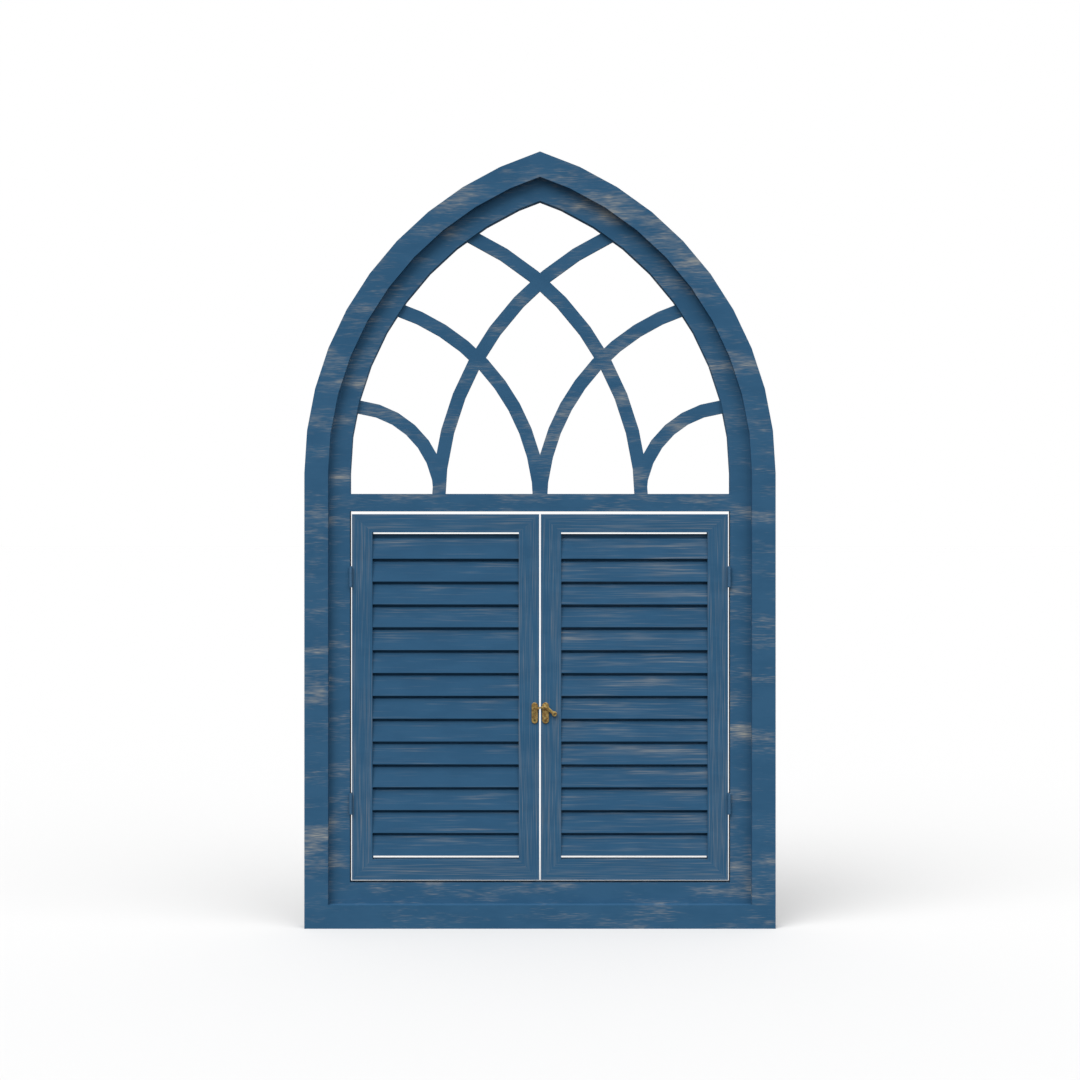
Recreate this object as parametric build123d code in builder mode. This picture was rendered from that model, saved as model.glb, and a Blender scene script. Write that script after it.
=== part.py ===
from build123d import *
from math import acos, atan2, cos, degrees, radians, sin, tan
import os

# Pointed window frame with intersecting tracery over a pair of hinged louvred shutters.
# Millimetres, +Z up. The wall side is the plane Y = 0 and the front looks along -Y.
# The origin is the middle of the bottom edge of the flat back.

# Outline of the whole frame
overall_width = 600.0
springing_height = 580.0
arch_centre_offset = 129.5
arch_staves = 10

# Raised band round the outside
band_width = 30.0
band_depth = 25.0

# Casing inside the band, set back from its front
casing_width = 26.9
casing_depth = 15.0
sill_height = 26.7

# Transom between the tracery and the shutters
transom_height = 22.2
transom_below_springing = 26.2

# Tracery bars, which are flat and set back from the front of the casing
bar_width = 17.0
bar_depth = 6.0
bar_setback = 4.5
mullion_spacing = 130.5
long_bar_radius = 381.0
long_bar_drop = 41.0
middle_bar_radius = 269.0
middle_bar_drop = 44.0
short_bar_radius = 116.5
short_bar_drop = 30.6
short_bar_shift = 3.0
bar_stave_angle = 7.2
bar_staves = 11
short_stave_angle = 12.0
short_bar_staves = 8

# Gaps round the shutters
side_gap = 2.7
top_gap = 3.7
bottom_gap = 3.5
meeting_gap = 2.1

# Frame of each shutter
leaf_depth = 15.0
stile_width = 26.0
top_rail_height = 23.3
bottom_rail_height = 26.1

# Louvre slats: a face that leans back, and a lip stepped further back behind the slat above
slat_count = 14
slat_face_height = 25.2
slat_face_lean = 3.5
slat_thickness = 3.0
slat_setback = 0.5
slat_step = 3.5
slat_step_lean = 70.0
slat_shoulder_radius = 2.5
slat_lip_height = 5.2
slat_top_gap = 1.9
slat_bottom_gap = 4.8

# Housings in the stiles, which take the back of each slat's end
housing_depth = 5.0
housing_wall = 2.4

# Butt hinges
hinge_height = 25.4
hinge_plate_thickness = 1.2
hinge_plate_reach = 12.0
knuckle_radius = 2.1
knuckle_count = 3
knuckle_gap = 0.2
knuckle_clearance = 0.3
hinge_pin_radius = 1.0
hinge_pin_clearance = 0.05
hinge_pin_head_radius = 1.7
hinge_pin_head_height = 0.8
upper_hinge_drop = 80.0
lower_hinge_rise = 97.5

# Hook latch on the meeting stiles
latch_drop = 20.4
latch_plate_length = 27.0
latch_plate_thickness = 1.6
latch_plate_inset = 1.65
latch_plate_bevel = 0.6
keeper_plate_width = 8.2
hook_plate_width = 8.8
latch_pivot_rise = 7.8
latch_arm_width = 2.9
latch_arm_fall = 8.0
latch_nose_gap = 0.5
keeper_eye_radius = 3.2
keeper_eye_hole_radius = 1.4
keeper_eye_height = 2.7
hook_clearance = 0.3
hook_thickness = 2.0
hook_bevel = 0.4
hook_hub_radius = 3.7
hook_handle_length = 14.3
hook_handle_root_width = 5.2
hook_handle_width = 3.2
hook_handle_angle = 37.5
hook_eye_radius = 3.3
hook_eye_hole_radius = 0.9
rivet_radius = 1.3
rivet_clearance = 0.06
rivet_head_radius = 2.4
rivet_head_height = 1.2
rivet_head_round = 0.9

# Lines that several pieces share
half_width = overall_width / 2
casing_outer_x = half_width - band_width
opening_x = casing_outer_x - casing_width
opening_bottom = band_width + sill_height
transom_top = springing_height - transom_below_springing
opening_top = transom_top - transom_height
arch_radius = half_width + arch_centre_offset
stave_angle = degrees(acos(arch_centre_offset / arch_radius)) / arch_staves

os.makedirs("parts", exist_ok=True)


def save(piece, name):
    """Label a finished piece and write it to its own file."""
    piece.part.label = name
    export_step(piece.part, f"parts/{name}.step")


def mirrored(piece):
    """The right-hand twin of a left-hand piece."""
    with BuildPart() as twin:
        mirror(piece.part, about=Plane.YZ)
    return twin


def save_pair(piece, name):
    """Write a left-hand piece and its right-hand twin."""
    save(piece, f"{name}_left")
    save(mirrored(piece), f"{name}_right")


def board(outline, depth, from_wall=0.0):
    """A flat board cut to an outline of (x, z) corners, reaching forward from the wall side."""
    with BuildPart() as piece:
        with BuildSketch(Plane.XZ.offset(from_wall)):
            Polygon(*outline, align=None)
        extrude(amount=depth)
    return piece


def rectangle(x_from, x_to, z_from, z_to):
    """Corners of an upright rectangle."""
    return [(x_from, z_from), (x_to, z_from), (x_to, z_to), (x_from, z_to)]


def arch_corners(half_span):
    """Corners of the left side's staves from the springing to the middle line."""
    radius = half_span + arch_centre_offset
    corners = [(-half_span, springing_height)]
    for stave in range(1, arch_staves + 1):
        angle = radians(stave * stave_angle)
        x = arch_centre_offset - radius * cos(angle)
        z = springing_height + radius * sin(angle)
        if x >= 0:
            last_x, last_z = corners[-1]
            share = last_x / (last_x - x)
            corners.append((0.0, last_z + share * (z - last_z)))
            break
        corners.append((x, z))
    return corners


# Raised band: a bottom rail, two posts, and two arched sides that meet on the middle line

outer_bottom_rail = board(rectangle(-half_width, half_width, 0, band_width), band_depth)
save(outer_bottom_rail, "outer_bottom_rail")

outer_post = board(
    rectangle(-half_width, -casing_outer_x, band_width, springing_height), band_depth
)
save_pair(outer_post, "outer_post")

outer_arch = board(
    arch_corners(half_width) + arch_corners(casing_outer_x)[::-1], band_depth
)
save_pair(outer_arch, "outer_arch")


# Casing: the same pieces again inside the band, thinner, with their backs flush

casing_bottom_rail = board(
    rectangle(-opening_x, opening_x, band_width, opening_bottom), casing_depth
)
save(casing_bottom_rail, "casing_bottom_rail")

casing_post = board(
    rectangle(-casing_outer_x, -opening_x, band_width, springing_height), casing_depth
)
save_pair(casing_post, "casing_post")

casing_arch = board(
    arch_corners(casing_outer_x) + arch_corners(opening_x)[::-1], casing_depth
)
save_pair(casing_arch, "casing_arch")

transom = board(rectangle(-opening_x, opening_x, opening_top, transom_top), casing_depth)
save(transom, "transom")


# Tracery: flat bars that rise from three mullion feet, cross, and die into the casing.
# Where two bars cross, each gives up half of its thickness to the other.

bar_from_wall = casing_depth - bar_setback - bar_depth
left_head = arch_corners(opening_x)
right_head = [(-x, z) for x, z in left_head[-2::-1]]
light_outline = [(-opening_x, transom_top), *left_head, *right_head, (opening_x, transom_top)]


def bar_outline(foot_x, lean, radius, drop, angle_step, staves):
    """Corners of a curved bar of straight staves; lean is 1 to the right and -1 to the left."""
    centre_x = foot_x + lean * radius
    centre_z = springing_height - drop
    angles = [radians(stave * angle_step) for stave in range(staves + 1)]
    outer = radius + bar_width / 2
    inner = radius - bar_width / 2
    rising = [(centre_x - lean * outer * cos(a), centre_z + outer * sin(a)) for a in angles]
    falling = [(centre_x - lean * inner * cos(a), centre_z + inner * sin(a)) for a in angles[::-1]]
    return rising + falling


def tracery_bar(outline, front_laps=(), back_laps=(), butts=(), keep=None):
    """A bar trimmed to the light, butted against some bars and lapped over or under others."""
    with BuildPart() as bar:
        with BuildSketch(Plane.XZ.offset(bar_from_wall)):
            Polygon(*outline, align=None)
            Polygon(*light_outline, align=None, mode=Mode.INTERSECT)
            for other in butts:
                Polygon(*other, align=None, mode=Mode.SUBTRACT)
            if keep:
                Polygon(*keep, align=None, mode=Mode.INTERSECT)
        extrude(amount=bar_depth)
        if back_laps:
            with BuildSketch(Plane.XZ.offset(bar_from_wall)):
                for other in back_laps:
                    Polygon(*other, align=None)
            extrude(amount=bar_depth / 2, mode=Mode.SUBTRACT)
        if front_laps:
            with BuildSketch(Plane.XZ.offset(bar_from_wall + bar_depth / 2)):
                for other in front_laps:
                    Polygon(*other, align=None)
            extrude(amount=bar_depth / 2, mode=Mode.SUBTRACT)
    return bar


long_left = bar_outline(
    -mullion_spacing, 1, long_bar_radius, long_bar_drop, bar_stave_angle, bar_staves
)
long_right = [(-x, z) for x, z in long_left]
middle_left = bar_outline(
    0.0, -1, middle_bar_radius, middle_bar_drop, bar_stave_angle, bar_staves
)
middle_right = [(-x, z) for x, z in middle_left]
short_left = bar_outline(
    -mullion_spacing + short_bar_shift, -1, short_bar_radius, short_bar_drop,
    short_stave_angle, short_bar_staves
)
arch_top = springing_height + arch_radius
left_of_middle = rectangle(-half_width, 0.0, opening_top, arch_top)
left_of_mullion = rectangle(-half_width, -mullion_spacing, opening_top, arch_top)

save(tracery_bar(long_left, front_laps=[middle_left], back_laps=[long_right]), "tracery_long_left")
save(tracery_bar(long_right, front_laps=[long_left, middle_right]), "tracery_long_right")
save_pair(tracery_bar(middle_left, back_laps=[long_left], keep=left_of_middle), "tracery_middle")
save_pair(tracery_bar(short_left, butts=[long_left], keep=left_of_mullion), "tracery_short")


# Shutter frames: stiles and rails mitred at the corners, flush with the front of the casing

leaf_from_wall = casing_depth - leaf_depth
leaf_hinge_x = -(opening_x - side_gap)
leaf_meeting_x = -meeting_gap / 2
leaf_bottom = opening_bottom + bottom_gap
leaf_top = opening_top - top_gap
field_left = leaf_hinge_x + stile_width
field_right = leaf_meeting_x - stile_width
field_bottom = leaf_bottom + bottom_rail_height
field_top = leaf_top - top_rail_height

leaf_corners = rectangle(leaf_hinge_x, leaf_meeting_x, leaf_bottom, leaf_top)
field_corners = rectangle(field_left, field_right, field_bottom, field_top)


def leaf_member(first, second):
    """A stile or rail between two corners of the leaf, with a mitre at each end."""
    outline = [leaf_corners[first], leaf_corners[second], field_corners[second], field_corners[first]]
    return board(outline, leaf_depth, leaf_from_wall)


# Slats: each has its foot just behind the front of the stiles and leans back from there. Above
# a rounded shoulder it steps back, and its lip stands behind the slat above with an air gap.
slat_step_rise = slat_step / tan(radians(slat_step_lean))
slat_back_drop = slat_thickness * tan(radians(slat_step_lean / 2))
slat_shoulder = (slat_face_lean, slat_face_height)
slat_lip_setback = slat_face_lean + slat_step
slat_height = slat_face_height + slat_step_rise + slat_lip_height
slat_first_z = field_bottom + slat_bottom_gap
slat_last_z = field_top - slat_top_gap - slat_height
slat_pitch = (slat_last_z - slat_first_z) / (slat_count - 1)
slat_face_y = -(casing_depth - slat_setback)
slat_places = [(slat_face_y, slat_first_z + index * slat_pitch) for index in range(slat_count)]
housing_front_y = -(casing_depth - housing_wall)

slat_front = [
    (0, 0), slat_shoulder, (slat_lip_setback, slat_face_height + slat_step_rise),
    (slat_lip_setback, slat_height),
]
slat_back = [
    (slat_lip_setback + slat_thickness, slat_height),
    (slat_lip_setback + slat_thickness, slat_face_height + slat_step_rise - slat_back_drop),
    (slat_face_lean + slat_thickness, slat_face_height - slat_back_drop), (slat_thickness, 0),
]

with BuildSketch() as slat_section:
    Polygon(*slat_front, *slat_back, align=None)
    shoulder = slat_section.vertices().sort_by_distance(slat_shoulder)[0]
    fillet(shoulder, slat_shoulder_radius)

with BuildPart() as louvres:
    with BuildSketch(Plane.YZ.offset(field_left)):
        with Locations(*slat_places):
            add(slat_section.sketch)
    extrude(amount=field_right - field_left)
    with BuildSketch(Plane.YZ.offset(field_left - housing_depth)):
        with Locations(*slat_places):
            add(slat_section.sketch)
        with Locations((housing_front_y, 0)):
            Rectangle(leaf_depth, leaf_top, align=(Align.MIN, Align.MIN), mode=Mode.INTERSECT)
    extrude(amount=field_right - field_left + 2 * housing_depth)
save_pair(louvres, "louvres")


def housed_stile(first, second):
    """A stile with a housing for the end of every slat."""
    with BuildPart() as stile:
        add(leaf_member(first, second).part)
        add(louvres.part, mode=Mode.SUBTRACT)
    return stile


save_pair(leaf_member(0, 1), "shutter_bottom_rail")
save_pair(housed_stile(1, 2), "shutter_meeting_stile")
save_pair(leaf_member(2, 3), "shutter_top_rail")
save_pair(housed_stile(3, 0), "shutter_hinge_stile")


# Butt hinges: the frame's half has the end knuckles, the leaf's half the middle one

pin_x = -(opening_x - side_gap / 2)
pin_y = -(casing_depth + knuckle_radius + knuckle_clearance)
knuckle_height = (hinge_height - (knuckle_count - 1) * knuckle_gap) / knuckle_count
knuckle_rise = knuckle_height + knuckle_gap


def hinge_half(bottom, plate_x, knuckles):
    """One hinge plate in the gap beside the leaf, with its share of the knuckles."""
    with BuildPart() as half:
        with BuildSketch(Plane.XY.offset(bottom)):
            with Locations((plate_x, -casing_depth + hinge_plate_reach / 2)):
                Rectangle(hinge_plate_thickness, hinge_plate_reach)
        extrude(amount=hinge_height)
        for knuckle in knuckles:
            with BuildSketch(Plane.XY.offset(bottom + knuckle * knuckle_rise)):
                with Locations((pin_x, pin_y)):
                    Circle(knuckle_radius)
                with Locations((plate_x, (pin_y - casing_depth) / 2)):
                    Rectangle(hinge_plate_thickness, -casing_depth - pin_y)
                with Locations((pin_x, pin_y)):
                    Circle(hinge_pin_radius + hinge_pin_clearance, mode=Mode.SUBTRACT)
            extrude(amount=knuckle_height)
    return half


def hinge_pin(bottom):
    """A pin with a small flat head against each end knuckle."""
    with BuildPart() as pin:
        with BuildSketch(Plane.XY.offset(bottom)):
            with Locations((pin_x, pin_y)):
                Circle(hinge_pin_radius)
        extrude(amount=hinge_height)
        for head in (bottom - hinge_pin_head_height, bottom + hinge_height):
            with BuildSketch(Plane.XY.offset(head)):
                with Locations((pin_x, pin_y)):
                    Circle(hinge_pin_head_radius)
            extrude(amount=hinge_pin_head_height)
    return pin


hinge_middles = {"upper": leaf_top - upper_hinge_drop, "lower": leaf_bottom + lower_hinge_rise}
frame_plate_x = -opening_x + hinge_plate_thickness / 2
leaf_plate_x = leaf_hinge_x - hinge_plate_thickness / 2

for level, middle in hinge_middles.items():
    hinge_bottom = middle - hinge_height / 2
    save_pair(hinge_half(hinge_bottom, frame_plate_x, (0, 2)), f"{level}_hinge_frame_half")
    save_pair(hinge_half(hinge_bottom, leaf_plate_x, (1,)), f"{level}_hinge_leaf_half")
    save_pair(hinge_pin(hinge_bottom), f"{level}_hinge_pin")


# Hook latch: a keeper on the left meeting stile and a pivoting hook on the right one

latch_z = (leaf_bottom + leaf_top) / 2 - latch_drop
pivot_z = latch_z + latch_pivot_rise
keeper_x = leaf_meeting_x - latch_plate_inset - keeper_plate_width / 2
hook_x = meeting_gap / 2 + latch_plate_inset + hook_plate_width / 2
plate_front = casing_depth + latch_plate_thickness
hook_back = plate_front + hook_clearance
hook_front = hook_back + hook_thickness
pivot = (hook_x, pivot_z)


def tapered_bar(start, end, start_width, end_width):
    """Corners of a straight bar between two (x, z) points."""
    heading = atan2(end[1] - start[1], end[0] - start[0])
    corners = []
    for (x, z), reach in ((start, -start_width / 2), (end, -end_width / 2),
                          (end, end_width / 2), (start, start_width / 2)):
        corners.append((x - reach * sin(heading), z + reach * cos(heading)))
    return corners


def arm_point(x):
    """A point on the middle line of the latch arm, which falls from the pivot to the keeper."""
    return (x, pivot_z - (hook_x - x) * tan(radians(latch_arm_fall)))


eye = (
    hook_x + hook_handle_length * cos(radians(hook_handle_angle)),
    pivot_z - hook_handle_length * sin(radians(hook_handle_angle)),
)
keeper_eye = arm_point(keeper_x)

with BuildPart() as keeper:
    with BuildSketch(Plane.XZ.offset(casing_depth)):
        with Locations((keeper_x, latch_z)):
            SlotOverall(latch_plate_length, keeper_plate_width, rotation=90)
    extrude(amount=latch_plate_thickness)
    chamfer(keeper.faces().sort_by(Axis.Y)[0].edges(), latch_plate_bevel)
    with BuildSketch(Plane.XZ.offset(hook_back)):
        tongue_end = arm_point(-latch_nose_gap / 2)
        Polygon(*tapered_bar(keeper_eye, tongue_end, latch_arm_width, latch_arm_width), align=None)
    extrude(amount=hook_thickness)
    with BuildSketch(Plane.XZ.offset(plate_front)):
        with Locations(keeper_eye):
            Circle(keeper_eye_radius)
    extrude(amount=keeper_eye_height)
    with BuildSketch(Plane.XZ.offset(plate_front)):
        with Locations(keeper_eye):
            Circle(keeper_eye_hole_radius)
    extrude(amount=keeper_eye_height, mode=Mode.SUBTRACT)
save(keeper, "latch_keeper")

with BuildPart() as hook_plate:
    with BuildSketch(Plane.XZ.offset(casing_depth)):
        with Locations((hook_x, latch_z)):
            SlotOverall(latch_plate_length, hook_plate_width, rotation=90)
    extrude(amount=latch_plate_thickness)
    chamfer(hook_plate.faces().sort_by(Axis.Y)[0].edges(), latch_plate_bevel)
save(hook_plate, "latch_hook_plate")

with BuildPart() as rivet:
    with BuildSketch(Plane.XZ.offset(plate_front)):
        with Locations(pivot):
            Circle(rivet_radius)
    extrude(amount=hook_front + hook_clearance - plate_front)
    with BuildSketch(Plane.XZ.offset(hook_front + hook_clearance)):
        with Locations(pivot):
            Circle(rivet_head_radius)
    extrude(amount=rivet_head_height)
    fillet(rivet.faces().sort_by(Axis.Y)[0].edges(), rivet_head_round)
save(rivet, "latch_rivet")

with BuildPart() as hook:
    with BuildSketch(Plane.XZ.offset(hook_back)):
        arm_end = arm_point(latch_nose_gap / 2)
        Polygon(*tapered_bar(pivot, arm_end, latch_arm_width, latch_arm_width), align=None)
        Polygon(*tapered_bar(pivot, eye, hook_handle_root_width, hook_handle_width), align=None)
        with Locations(pivot):
            Circle(hook_hub_radius)
        with Locations(eye):
            Circle(hook_eye_radius)
    extrude(amount=hook_thickness)
    chamfer(hook.faces().sort_by(Axis.Y)[0].edges(), hook_bevel)
    with BuildSketch(Plane.XZ.offset(hook_back)):
        with Locations(eye):
            Circle(hook_eye_hole_radius)
        with Locations(pivot):
            Circle(rivet_radius + rivet_clearance)
    extrude(amount=hook_thickness, mode=Mode.SUBTRACT)
save(hook, "latch_hook")
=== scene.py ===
import bmesh
import bpy
from math import pi, radians, sin
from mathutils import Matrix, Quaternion, Vector


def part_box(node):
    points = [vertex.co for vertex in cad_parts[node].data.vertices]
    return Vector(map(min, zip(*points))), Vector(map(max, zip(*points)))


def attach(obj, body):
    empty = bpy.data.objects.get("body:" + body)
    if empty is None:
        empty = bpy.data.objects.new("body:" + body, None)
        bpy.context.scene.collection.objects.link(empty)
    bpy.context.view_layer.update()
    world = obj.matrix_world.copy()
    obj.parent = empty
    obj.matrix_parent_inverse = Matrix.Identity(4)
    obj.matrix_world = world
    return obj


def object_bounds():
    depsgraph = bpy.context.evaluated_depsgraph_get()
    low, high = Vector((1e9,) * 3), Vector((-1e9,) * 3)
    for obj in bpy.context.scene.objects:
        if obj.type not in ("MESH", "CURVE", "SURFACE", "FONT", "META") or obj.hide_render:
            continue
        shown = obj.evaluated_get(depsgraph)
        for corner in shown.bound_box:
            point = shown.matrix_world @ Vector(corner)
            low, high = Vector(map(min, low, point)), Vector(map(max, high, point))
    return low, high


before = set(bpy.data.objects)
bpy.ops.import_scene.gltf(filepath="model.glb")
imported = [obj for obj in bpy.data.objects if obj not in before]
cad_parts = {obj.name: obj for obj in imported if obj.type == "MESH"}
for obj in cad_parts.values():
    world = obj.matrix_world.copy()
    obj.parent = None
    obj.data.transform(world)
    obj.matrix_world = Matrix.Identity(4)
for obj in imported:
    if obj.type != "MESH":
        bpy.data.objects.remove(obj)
cad_low, cad_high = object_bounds()


# Studio.
# The frame stands on a white sweep under broad, soft light, most of it from above and the left.
# The camera looks at it squarely from the height of the shutters.

photo_side = 1080
photo_frame_width = 471.4
photo_ground_line = 928.8
sensor_width = 36.0
camera_distance = 2.2

frame_width = cad_high.x - cad_low.x
metres_per_pixel = frame_width / photo_frame_width
lens_data = bpy.data.cameras.new("studio_camera")
lens_data.sensor_width = sensor_width
lens_data.lens = sensor_width * photo_frame_width / photo_side * camera_distance / frame_width
camera = bpy.data.objects.new("studio_camera", lens_data)
camera.location = (
    0.0,
    cad_low.y - camera_distance,
    (photo_ground_line - photo_side / 2) * metres_per_pixel,
)
camera.rotation_euler = (radians(90), 0, 0)
bpy.context.collection.objects.link(camera)
bpy.context.scene.camera = camera
bpy.context.scene.view_settings.view_transform = "Standard"


class Wire:
    """A socket of a shader tree. Arithmetic on it adds Math nodes, and make adds any other node."""

    def __init__(self, socket):
        self.socket = socket
        self.tree = socket.id_data

    def make(self, kind, settings, inputs, output=0):
        """Add a node, set it up, give its sockets numbers, colours or wires, and return an output."""
        node = self.tree.nodes.new(kind)
        for name, value in settings.items():
            setattr(node, name, value)
        for name, value in inputs.items():
            if isinstance(value, Wire):
                self.tree.links.new(value.socket, node.inputs[name])
            else:
                node.inputs[name].default_value = value
        return Wire(node.outputs[output])

    def math(self, operation, first, second):
        return self.make("ShaderNodeMath", {"operation": operation}, {0: first, 1: second})

    def __add__(self, other):
        return self.math("ADD", self, other)

    def __sub__(self, other):
        return self.math("SUBTRACT", self, other)

    def __rsub__(self, other):
        return self.math("SUBTRACT", other, self)

    def __mul__(self, other):
        return self.math("MULTIPLY", self, other)

    __radd__ = __add__
    __rmul__ = __mul__


def new_material(name):
    """An empty node material and its output node."""
    material = bpy.data.materials.new(name)
    material.use_nodes = True
    material.node_tree.nodes.clear()
    output = material.node_tree.nodes.new("ShaderNodeOutputMaterial")
    return material, output


def dress(piece, material):
    """Give a piece one material all over."""
    piece.data.materials.clear()
    piece.data.materials.append(material)


floor_size = 200.0
# The floor's colour as the camera sees it, and the darker one that it reflects onto the frame.
floor_white = 0.55
floor_bounce = 0.15
sky_light = 0.62
# Each lamp's turn from the front, height and spread in degrees, and its share of the light.
lamps = {
    "left_lamp": (-40, 48, 40, 0.62),
    "right_lamp": (50, 40, 50, 0.30),
    "top_lamp": (0, 70, 50, 0.30),
}
floor_light = sky_light + sum(sin(radians(height)) * power for _, height, _, power in lamps.values())
floor_glow = 1.0 - floor_white * floor_light

bpy.ops.object.select_all(action="DESELECT")
bpy.ops.mesh.primitive_plane_add(size=floor_size, location=(0, 0, cad_low.z))
floor = bpy.context.object
floor.name = "studio_floor"
floor_material, floor_output = new_material("studio_floor")
seen = Wire(floor_material.node_tree.nodes.new("ShaderNodeLightPath").outputs["Is Camera Ray"])
matte = seen.make("ShaderNodeBsdfDiffuse", {}, {"Color": (floor_white, floor_white, floor_white, 1)})
glow = seen.make("ShaderNodeEmission", {}, {"Strength": floor_glow})
lit = seen.make("ShaderNodeAddShader", {}, {0: matte, 1: glow})
plain = seen.make("ShaderNodeBsdfDiffuse", {}, {"Color": (floor_bounce, floor_bounce, floor_bounce, 1)})
shown = seen.make("ShaderNodeMixShader", {}, {0: seen, 1: plain, 2: lit})
floor_material.node_tree.links.new(shown.socket, floor_output.inputs["Surface"])
dress(floor, floor_material)

world = bpy.data.worlds.new("studio")
bpy.context.scene.world = world
world.use_nodes = True
world.node_tree.nodes.clear()
path = world.node_tree.nodes.new("ShaderNodeLightPath")
straight = Wire(path.outputs["Is Camera Ray"])
glossy = Wire(path.outputs["Is Glossy Ray"])
through = Wire(path.outputs["Is Transmission Ray"])
white = straight.math("MINIMUM", straight + glossy + through, 1.0)
strength = white * (1 - sky_light) + sky_light
sky = strength.make("ShaderNodeBackground", {}, {"Color": (1, 1, 1, 1), "Strength": strength})
world_output = world.node_tree.nodes.new("ShaderNodeOutputWorld")
world.node_tree.links.new(sky.socket, world_output.inputs["Surface"])


for name, (side, height, spread, power) in lamps.items():
    lamp = bpy.data.lights.new(name, "SUN")
    lamp.angle = radians(spread)
    lamp.energy = pi * power
    holder = bpy.data.objects.new(name, lamp)
    holder.rotation_euler = (radians(90 - height), 0, radians(side))
    bpy.context.collection.objects.link(holder)


# Band, casing and transom.
# Softwood boards glued into one frame and painted blue all over. The paint is rubbed through to
# the greyish timber in short level streaks, which gather in patches.

paint_blue = (0.0325, 0.1030, 0.1950, 1)
paint_deep = (0.0275, 0.0930, 0.1800, 1)
bare_timber = (0.3900, 0.3750, 0.3250, 1)
tone_spots = (0.05, 0.05, 0.02)
paint_roughness = 0.8
worn_roughness_rise = 0.1
paint_specular = 0.08
relief_strength = 0.2
relief_depth = 0.0004
# Lengths along the grain, across it and through the board.
level_streak = (0.014, 0.0015, 0.05)
level_patch = (0.075, 0.022, 0.05)
frame_gathering = 1.6
frame_wear_range = 0.75
band_shift = (0, 0, 0.006)
no_shift = (0, 0, 0)
# The most worn places on the front: centre x and z, and reach along x and z.
worn_place_gain = 0.16
worn_places = [
    (0.277, 0.364, 0.034, 0.007),
    (-0.270, 0.362, 0.030, 0.008),
    (-0.287, 0.303, 0.018, 0.010),
    (-0.280, 0.117, 0.026, 0.020),
    (0.270, 0.252, 0.028, 0.012),
    (-0.080, 0.936, 0.050, 0.014),
    (-0.125, 0.896, 0.035, 0.018),
    (0.089, 0.915, 0.050, 0.016),
    (0.191, 0.866, 0.045, 0.018),
    (-0.205, 0.795, 0.035, 0.008),
    (-0.140, 0.046, 0.100, 0.009),
    (0.178, 0.016, 0.050, 0.010),
    (0.166, 0.546, 0.040, 0.006),
]


def stretched_noise(place, sizes, seed, detail=3.0, roughness=0.55):
    """Noise whose spots have the given length in metres along each axis."""
    scale = tuple(1 / size for size in sizes)
    fitted = place.make("ShaderNodeVectorMath", {"operation": "MULTIPLY"}, {0: place, 1: scale})
    return fitted.make(
        "ShaderNodeTexNoise",
        {"noise_dimensions": "4D"},
        {"Vector": fitted, "W": seed, "Scale": 1.0, "Detail": detail, "Roughness": roughness},
    )


def step_up(value, low, high):
    """0 below low, 1 above high, and a smooth rise between."""
    return value.make(
        "ShaderNodeMapRange",
        {"interpolation_type": "SMOOTHSTEP"},
        {"Value": value, "From Min": low, "From Max": high},
    )


def blend(share, first, second):
    """A colour part way from the first to the second."""
    return share.make(
        "ShaderNodeMix", {"data_type": "RGBA"}, {"Factor": share, "A": first, "B": second}, 2
    )


def turned(sizes, along):
    """Sizes given as along, across and through the grain, put in x, y, z order."""
    length, across, through_board = sizes
    if along == "x":
        return (length, through_board, across)
    return (across, through_board, length)


def near(place, centre_x, centre_z, reach_x, reach_z):
    """1 at a place on the front, falling to 0 past its reach."""
    offset = place.make(
        "ShaderNodeVectorMath", {"operation": "SUBTRACT"}, {0: place, 1: (centre_x, 0, centre_z)}
    )
    shares = (1 / reach_x, 0, 1 / reach_z)
    offset = offset.make("ShaderNodeVectorMath", {"operation": "MULTIPLY"}, {0: offset, 1: shares})
    distance = offset.make("ShaderNodeVectorMath", {"operation": "LENGTH"}, {0: offset}, "Value")
    return 1 - step_up(distance, 0.3, 1.4)


def object_place(material):
    """The point on the piece, in metres from the frame's origin."""
    return Wire(material.node_tree.nodes.new("ShaderNodeTexCoord").outputs["Object"])


def finish_paint(material, output, place, worn, grain, deep=paint_deep, blue=paint_blue):
    """Blue paint that gives way to bare timber by the share that is worn."""
    tone = stretched_noise(place, tone_spots, 9.0)
    ground = blend(step_up(tone, 0.35, 0.65), deep, blue)
    relief = worn.make(
        "ShaderNodeBump",
        {},
        {"Strength": relief_strength, "Distance": relief_depth, "Height": grain - worn},
    )
    skin = relief.make(
        "ShaderNodeBsdfPrincipled",
        {},
        {
            "Base Color": blend(worn, ground, bare_timber),
            "Roughness": worn * worn_roughness_rise + paint_roughness,
            "Normal": relief,
            "Specular IOR Level": paint_specular,
        },
    )
    material.node_tree.links.new(skin.socket, output.inputs["Surface"])


def streaks(place, streak, patch, along, gathered, seed=0.0):
    """Fine streaks along the grain, and how strong they are once gathered in patches."""
    fine = stretched_noise(place, turned(streak, along), seed, detail=1.5, roughness=0.6)
    patches = stretched_noise(place, turned(patch, along), seed + 4.0, detail=2.0)
    return fine, fine + (patches - 0.5) * gathered


def most_worn(level, place, places, gain):
    """The wear level, raised at each of the worn places."""
    for centre_x, centre_z, reach_x, reach_z in places:
        level = level + near(place, centre_x, centre_z, reach_x, reach_z) * gain
    return level


def rubbed_through(level, low, high):
    """The share of bare timber: none below low, all above high, and slow to start."""
    share = level.make("ShaderNodeMapRange", {}, {"Value": level, "From Min": low, "From Max": high})
    return share * share


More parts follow.
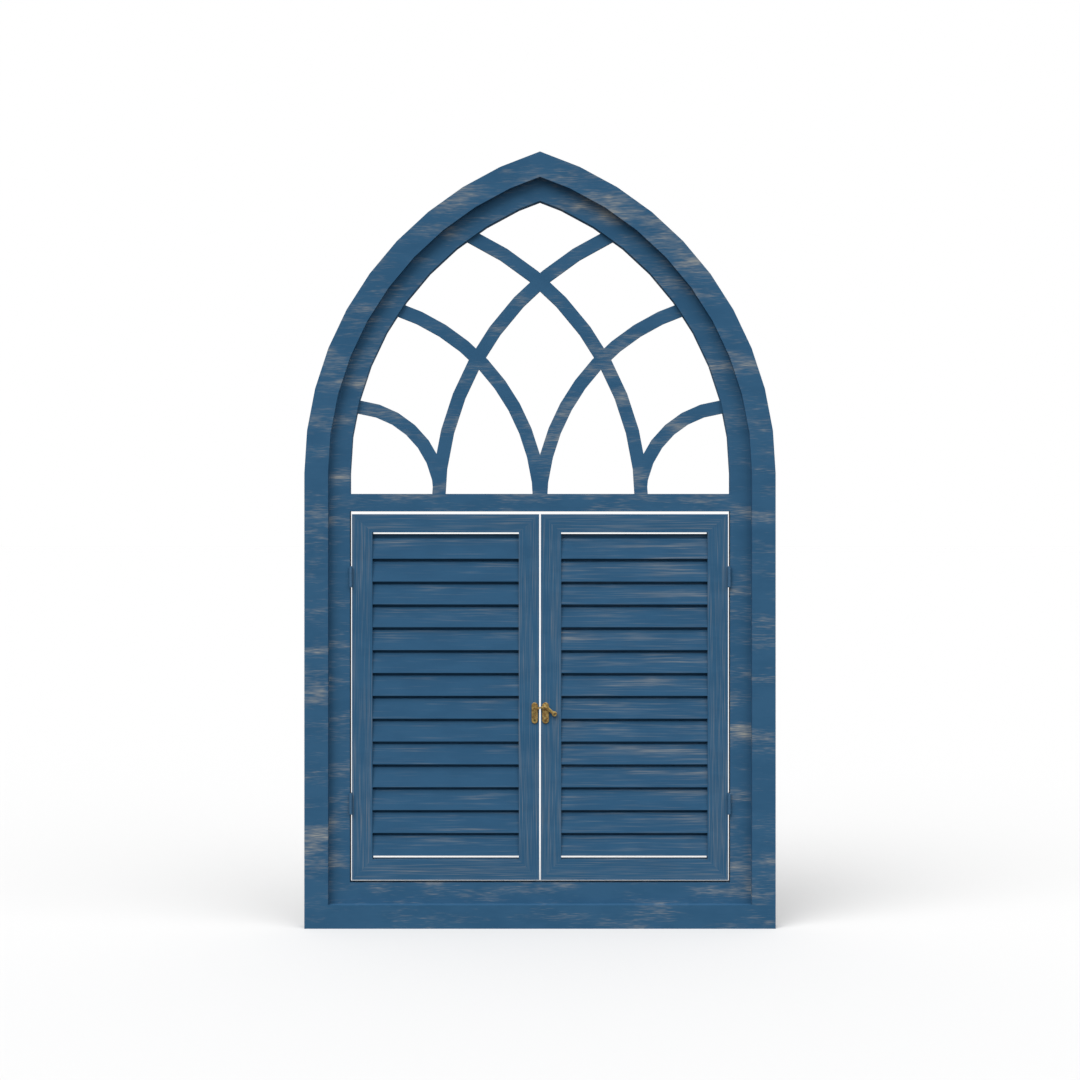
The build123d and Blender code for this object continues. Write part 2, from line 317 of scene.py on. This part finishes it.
def frame_paint(name, shift, fresh):
    """Paint for the boards of the frame, with level streaks and the most worn places."""
    material, output = new_material(name)
    place = object_place(material)
    shifted = place.make("ShaderNodeVectorMath", {"operation": "ADD"}, {0: place, 1: shift})
    fine, level = streaks(shifted, level_streak, level_patch, "x", frame_gathering)
    level = most_worn(level, shifted, worn_places, worn_place_gain)
    worn = rubbed_through(level, fresh, fresh + frame_wear_range)
    finish_paint(material, output, place, worn, fine)
    return material


band_paint = frame_paint("band_paint", band_shift, 0.45)
casing_paint = frame_paint("casing_paint", no_shift, 0.43)
bottom_paint = frame_paint("bottom_paint", no_shift, 0.56)
for name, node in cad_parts.items():
    if name.startswith("outer_"):
        dress(node, band_paint)
    if name.startswith("casing_") or name == "transom":
        dress(node, casing_paint)
    if name == "outer_bottom_rail":
        dress(node, bottom_paint)


# Tracery.
# Flat bars bent in short staves and halved over each other where they cross. They are painted
# with the frame and worn in the same level streaks.

for name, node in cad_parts.items():
    if name.startswith("tracery_"):
        dress(node, casing_paint)


# Shutter frames.
# Stiles and rails with mitred corners. The grain runs along each board, so that it turns at the
# mitres, and fine worn lines follow it. A narrow line along the left meeting stile's inner arris is
# made paler.

leaf_streak = (0.06, 0.0013, 0.05)
leaf_patch = (0.25, 0.010, 0.05)
leaf_gathering = 0.25
leaf_fresh = 0.39
leaf_bare = 1.1
pale_arris_line = (-0.0271, 0.31, 0.0011, 0.22)
pale_arris_gain = 0.25


def leaf_paint(name, along):
    """Paint for a shutter's frame, with wear along the board."""
    material, output = new_material(name)
    place = object_place(material)
    fine, level = streaks(place, leaf_streak, leaf_patch, along, leaf_gathering)
    if along == "z":
        # A narrow line along the left meeting stile's inner arris is made paler, by raising the wear
        # level there.
        level = most_worn(level, place, [pale_arris_line], pale_arris_gain)
    finish_paint(material, output, place, rubbed_through(level, leaf_fresh, leaf_bare), fine)
    return material


stile_paint = leaf_paint("stile_paint", "z")
rail_paint = leaf_paint("rail_paint", "x")
for name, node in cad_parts.items():
    if "_stile_" in name:
        dress(node, stile_paint)
    if name.startswith("shutter_") and "_rail_" in name:
        dress(node, rail_paint)


# Louvres.
# Slats that lean back a little, each stepped at the top to stand behind the one above. Their paint
# is deepened as painted shade, to offset the extra light that their lean catches from above, and
# worn in long level streaks, most of all over the upper part of the face.

slat_count = 14
slat_height = 0.0317
slat_streak = (0.060, 0.0019, 0.05)
slat_patch = (0.20, 0.007, 0.05)
# Painted shade: the slats' two blues are deeper than the frame's, to offset the light their lean
# catches from above.
slat_shaded_deep = (0.0248, 0.0830, 0.1620, 1)
slat_shaded_blue = (0.0280, 0.0910, 0.1750, 1)
slat_gathering = 0.5
slat_wear_range = 0.85
rubbed_spots = (0.10, 0.05, 0.015)
rubbed_gain = 0.30
worn_slat_gain = 0.14
worn_slats = [
    (0.166, 0.4565, 0.055, 0.008),
    (0.153, 0.4265, 0.085, 0.007),
    (0.128, 0.3095, 0.050, 0.006),
    (0.121, 0.2238, 0.075, 0.006),
    (-0.121, 0.4949, 0.090, 0.004),
    (-0.119, 0.1240, 0.085, 0.004),
]
slats_low, slats_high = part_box("louvres_left")
slat_pitch = (slats_high.z - slats_low.z - slat_height) / (slat_count - 1)


def slat_paint(name, fresh, seed):
    """Paint for one leaf's slats, with painted shade in its deeper blue, rubbed over the upper part of
    each slat's face.
    """
    material, output = new_material(name)
    place = object_place(material)
    fine, level = streaks(place, slat_streak, slat_patch, "x", slat_gathering, seed)
    height = place.make("ShaderNodeSeparateXYZ", {}, {0: place}, "Z")
    turn = (height - slats_low.z) * (1 / slat_pitch)
    across_slat = turn.math("MODULO", turn, 1.0)
    face = step_up(across_slat, 0.15, 0.50) - step_up(across_slat, 0.80, 0.88)
    rubbed = step_up(stretched_noise(place, rubbed_spots, seed + 7.0), 0.42, 0.75)
    level = most_worn(level + face * rubbed * rubbed_gain, place, worn_slats, worn_slat_gain)
    worn = rubbed_through(level, fresh, fresh + slat_wear_range)
    finish_paint(material, output, place, worn, fine, slat_shaded_deep, slat_shaded_blue)
    return material


dress(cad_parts["louvres_left"], slat_paint("shaded_slat_paint_left", 0.53, 0.0))
dress(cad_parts["louvres_right"], slat_paint("shaded_slat_paint_right", 0.43, 20.0))


# Hinges.
# Small steel butt hinges, screwed to the edges of the casing and the shutters with two countersunk
# screws in each plate, and painted over with the frame.

hinge_plate_thickness = 0.0012
hinge_screw_depth = -0.0085
hinge_screw_spread = 0.0075
hinge_screw_radius = 0.0016
hinge_screw_proud = 0.0001
hinge_spots = (0.004, 0.004, 0.004)
hinge_roughness = 0.45

hinge_paint, hinge_output = new_material("hinge_paint")
hinge_tone = stretched_noise(object_place(hinge_paint), hinge_spots, 2.0)
hinge_skin = hinge_tone.make(
    "ShaderNodeBsdfPrincipled",
    {},
    {"Base Color": blend(hinge_tone, paint_deep, paint_blue), "Roughness": hinge_roughness},
)
hinge_paint.node_tree.links.new(hinge_skin.socket, hinge_output.inputs["Surface"])
for name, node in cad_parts.items():
    if "_hinge_" in name and "stile" not in name:
        dress(node, hinge_paint)


def pick_faces(piece, wanted):
    """Select only the faces that are wanted, in edit mode."""
    shape = bmesh.from_edit_mesh(piece.data)
    for face in shape.faces:
        face.select_set(False)
    for face in shape.faces:
        if wanted(face):
            face.select_set(True)
    bmesh.update_edit_mesh(piece.data)


def faces_up(face):
    """Whether a face of a screw head looks up."""
    return face.normal.z > 0.9


def slotted_head(radius, proud):
    """A slotted screw head that faces up, with the face of its plate at height 0."""
    rim = radius * 0.25
    half_slot = radius * 0.2

    def in_rim(face):
        return faces_up(face) and face.calc_center_median().length < radius - rim

    def in_slot(face):
        middle = face.calc_center_median()
        return faces_up(face) and abs(middle.x) < half_slot / 2 and abs(middle.y) < half_slot / 2

    bpy.ops.object.select_all(action="DESELECT")
    bpy.ops.mesh.primitive_cylinder_add(
        vertices=24, radius=radius, depth=3 * proud, location=(0, 0, -proud / 2)
    )
    bpy.ops.object.transform_apply(location=True, rotation=True, scale=True)
    head = bpy.context.object
    bpy.ops.object.mode_set(mode="EDIT")
    bpy.ops.mesh.select_mode(type="FACE")
    pick_faces(head, faces_up)
    bpy.ops.mesh.inset(thickness=rim)
    pick_faces(head, lambda face: faces_up(face) and len(face.verts) > 4)
    for side in (-half_slot, half_slot):
        bpy.ops.mesh.bisect(plane_co=(side, 0, 0), plane_no=(1, 0, 0))
        pick_faces(head, in_rim)
    pick_faces(head, in_slot)
    bpy.ops.mesh.extrude_region_move(TRANSFORM_OT_translate={"value": (0, 0, -proud)})
    bpy.ops.object.mode_set(mode="OBJECT")
    return head


def drive_screw(head, name, centre, facing, spin, material, body):
    """Set a copy of a screw head in its plate, and turn its slot."""
    screw = head.copy()
    screw.data = head.data.copy()
    screw.name = name
    screw.rotation_mode = "QUATERNION"
    screw.rotation_quaternion = Vector(facing).to_track_quat("Z", "Y") @ Quaternion((0, 0, 1), spin)
    screw.location = centre
    bpy.context.collection.objects.link(screw)
    bpy.ops.object.select_all(action="DESELECT")
    screw.select_set(True)
    bpy.context.view_layer.objects.active = screw
    bpy.ops.object.transform_apply(location=True, rotation=True, scale=True)
    dress(screw, material)
    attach(screw, body)


hinge_head = slotted_head(hinge_screw_radius, hinge_screw_proud)
for side, outwards in (("left", -1), ("right", 1)):
    casing_low, casing_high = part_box(f"casing_post_{side}")
    stile_low, stile_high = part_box(f"shutter_hinge_stile_{side}")
    casing_edge = min(abs(casing_low.x), abs(casing_high.x))
    leaf_edge = max(abs(stile_low.x), abs(stile_high.x))
    frame_face = outwards * (casing_edge - hinge_plate_thickness)
    leaf_face = outwards * (leaf_edge + hinge_plate_thickness)
    for level in ("upper", "lower"):
        hinge_low, hinge_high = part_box(f"{level}_hinge_leaf_half_{side}")
        middle = (hinge_low.z + hinge_high.z) / 2
        for row, rise, frame_spin, leaf_spin in (
            ("top", hinge_screw_spread, 1.0, 1.45),
            ("foot", -hinge_screw_spread, 0.4, 2.35),
        ):
            height = middle + rise
            for plate, face, facing, spin, body in (
                ("frame", frame_face, -outwards, frame_spin, "frame"),
                ("leaf", leaf_face, outwards, leaf_spin, f"shutter_{side}"),
            ):
                drive_screw(
                    hinge_head,
                    f"{level}_{side}_{plate}_screw_{row}",
                    (face, hinge_screw_depth, height),
                    (facing, 0, 0),
                    spin,
                    hinge_paint,
                    body,
                )
bpy.data.objects.remove(hinge_head)


# Hook latch.
# Cast brass gone dull, brown and green in the hollows: a keeper on the left shutter, and a hook
# that turns on a rivet on the right one. A slotted screw holds the foot of each plate.

brass_light = (0.46, 0.32, 0.11, 1)
brass_dark = (0.20, 0.105, 0.030, 1)
brass_green = (0.17, 0.17, 0.06, 1)
brown_blots = (0.0030, 0.0030, 0.0030)
green_blots = (0.0024, 0.0024, 0.0024)
brass_metal = 0.7
brass_roughness = 0.55
bright_roughness_drop = 0.12
keeper_half_width = 0.0041
latch_screw_radius = 0.0017
latch_screw_proud = 0.0002
latch_screw_rise = 0.0044


def aged_brass(name, light, dark, green):
    """Brass in three tones, in soft blots a few millimetres wide."""
    material, output = new_material(name)
    place = object_place(material)
    bright = step_up(stretched_noise(place, brown_blots, 3.0), 0.36, 0.62)
    mossy = step_up(stretched_noise(place, green_blots, 8.0), 0.50, 0.68)
    skin = bright.make(
        "ShaderNodeBsdfPrincipled",
        {},
        {
            "Base Color": blend(mossy, blend(bright, dark, light), green),
            "Metallic": brass_metal,
            "Roughness": brass_roughness - bright * bright_roughness_drop,
        },
    )
    material.node_tree.links.new(skin.socket, output.inputs["Surface"])
    return material


latch_brass = aged_brass("latch_brass", brass_light, brass_dark, brass_green)
screw_brass = aged_brass("screw_brass", brass_green, brass_dark, brass_dark)
for name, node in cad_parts.items():
    if name.startswith("latch_"):
        dress(node, latch_brass)

latch_head = slotted_head(latch_screw_radius, latch_screw_proud)
keeper_low, keeper_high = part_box("latch_keeper")
plate_low, plate_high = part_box("latch_hook_plate")
plate_middle = (plate_low.x + plate_high.x) / 2
keeper_spot = (keeper_low.x + keeper_half_width, plate_low.y, keeper_low.z + latch_screw_rise)
plate_spot = (plate_middle, plate_low.y, plate_low.z + latch_screw_rise)
for name, spot, spin, body in (
    ("keeper_screw", keeper_spot, 0.5, "shutter_left"),
    ("hook_plate_screw", plate_spot, 2.2, "shutter_right"),
):
    drive_screw(latch_head, name, spot, (0, -1, 0), spin, screw_brass, body)
bpy.data.objects.remove(latch_head)
